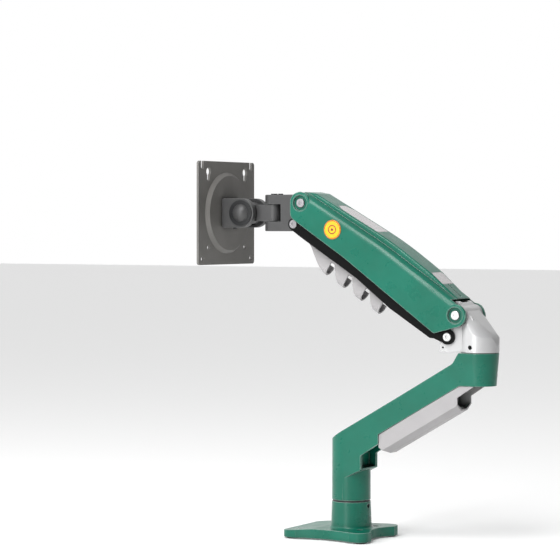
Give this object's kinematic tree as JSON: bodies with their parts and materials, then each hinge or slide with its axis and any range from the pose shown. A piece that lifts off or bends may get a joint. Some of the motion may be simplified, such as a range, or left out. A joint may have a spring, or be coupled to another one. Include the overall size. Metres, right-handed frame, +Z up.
{
  "type": "monitor arm",
  "caption": "Gas-spring desk monitor arm with swivelling base and elbow, parallel-link upper arm, level tilting head and VESA plate.",
  "frame": {"origin": "mouth of the grommet stud hole, on the base column's axis, in the plane of the desk", "axes": "+Z up along the base column, +X from the base column towards the elbow, +Y away from the badge side"},
  "size_m": [0.3306, 0.115, 0.4025],
  "materials": {
    "pad_rubber": "matte",
    "bright_steel": "satin",
    "dark_steel": "satin",
    "dark_plastic": "matte",
    "arm_green": "satin",
    "light_plastic": "satin",
    "elbow_grey": "satin",
    "inset_grey": "glossy",
    "badge_yellow": "glossy",
    "link_black": "satin",
    "head_grey": "satin",
    "plate_grey": "satin"
  },
  "bodies": {
    "base": {"base_casting": "arm_green", "base_pads": "pad_rubber", "base_post": "bright_steel", "base_lock_screw": "dark_steel", "base_slip_ring": "dark_plastic"},
    "lower_arm": {"lower_arm": "arm_green", "lower_arm_bush": "dark_plastic", "cable_cover": "light_plastic", "cable_cover_clips": "light_plastic", "elbow_bush": "dark_plastic", "elbow_slip_washer": "dark_plastic"},
    "elbow": {"elbow_housing": "elbow_grey", "elbow_post": "bright_steel", "elbow_retainer": "dark_steel", "elbow_set_screw": "dark_steel", "elbow_link_pins": "bright_steel", "tension_screw": "dark_steel", "tension_slider": "dark_steel", "slider_pin": "bright_steel", "main_pivot_bushes": "dark_plastic"},
    "upper_arm": {"upper_arm_shell": "arm_green", "front_inset": "inset_grey", "rear_inset": "inset_grey", "badge": "badge_yellow", "main_pivot_pin": "bright_steel", "head_pivot_pin": "bright_steel", "spring_pin": "bright_steel"},
    "link": {"lower_link": "link_black", "cable_clip": "light_plastic", "cable_clip_screws": "dark_steel"},
    "spring_tube": {"gas_cylinder": "link_black"},
    "spring_rod": {"gas_rod": "bright_steel"},
    "head": {"head_bracket": "head_grey", "head_link_pin": "bright_steel", "head_pivot_bushes": "dark_plastic", "pan_pin": "dark_steel", "pan_clamp_screw": "dark_steel", "pan_washers": "dark_plastic"},
    "knuckle": {"tilt_knuckle": "head_grey"},
    "tilt_head": {"tilt_housing": "head_grey", "tilt_washers": "dark_plastic", "tilt_bolt": "head_grey", "tilt_nut": "dark_steel", "housing_set_screw": "dark_steel", "plate_washer": "dark_plastic"},
    "plate": {"vesa_plate": "plate_grey", "plate_spindle": "dark_steel"}
  },
  "joints": [
    {"name": "base_swivel", "type": "hinge", "parent": "base", "child": "lower_arm", "pos_m": [0, 0, 0.0415], "axis": [0, 0, 1], "range_deg": [-180, 180]},
    {"name": "elbow_swivel", "type": "hinge", "parent": "lower_arm", "child": "elbow", "pos_m": [0.1512, 0, 0.2015], "axis": [0, 0, 1], "range_deg": [-180, 180]},
    {"name": "arm_lift", "type": "hinge", "parent": "elbow", "child": "upper_arm", "pos_m": [0.1344, 0, 0.2403], "axis": [0, 1, 0], "range_deg": [-40, 8]},
    {"name": "link_lift", "type": "hinge", "parent": "elbow", "child": "link", "pos_m": [0.1226, 0, 0.2177], "axis": [0, 1, 0], "range_deg": [-40.5, 8.5]},
    {"name": "spring_swing", "type": "hinge", "parent": "upper_arm", "child": "spring_tube", "pos_m": [-0.01713, 0, 0.33372], "axis": [0, 1, 0], "range_deg": [-0.8, 0.2]},
    {"name": "rod_stroke", "type": "slide", "parent": "spring_tube", "child": "spring_rod", "axis": [0.8069, 0, -0.5907], "range_m": [-0.0098, 0.0022]},
    {"name": "head_level", "type": "hinge", "parent": "upper_arm", "child": "head", "pos_m": [-0.04936, 0, 0.35647], "axis": [0, 1, 0], "range_deg": [-8.5, 40.5]},
    {"name": "head_pan", "type": "hinge", "parent": "head", "child": "knuckle", "pos_m": [-0.09576, 0, 0.34597], "axis": [0, 0, 1], "range_deg": [-85, 85]},
    {"name": "head_tilt", "type": "hinge", "parent": "knuckle", "child": "tilt_head", "pos_m": [-0.12816, 0, 0.34597], "axis": [0, 1, 0], "range_deg": [-35, 80]},
    {"name": "plate_turn", "type": "hinge", "parent": "tilt_head", "child": "plate", "pos_m": [-0.15916, 0, 0.34597], "axis": [1, 0, 0], "range_deg": [-180, 180]}
  ],
  "couplings": [
    {"joint": "link_lift", "follows": "arm_lift", "ratio": 1},
    {"joint": "head_level", "follows": "arm_lift", "ratio": -1},
    {"joint": "spring_swing", "follows": "arm_lift", "ratio": 0.017},
    {"joint": "rod_stroke", "follows": "arm_lift", "m_per_rad": 0.0137}
  ]
}
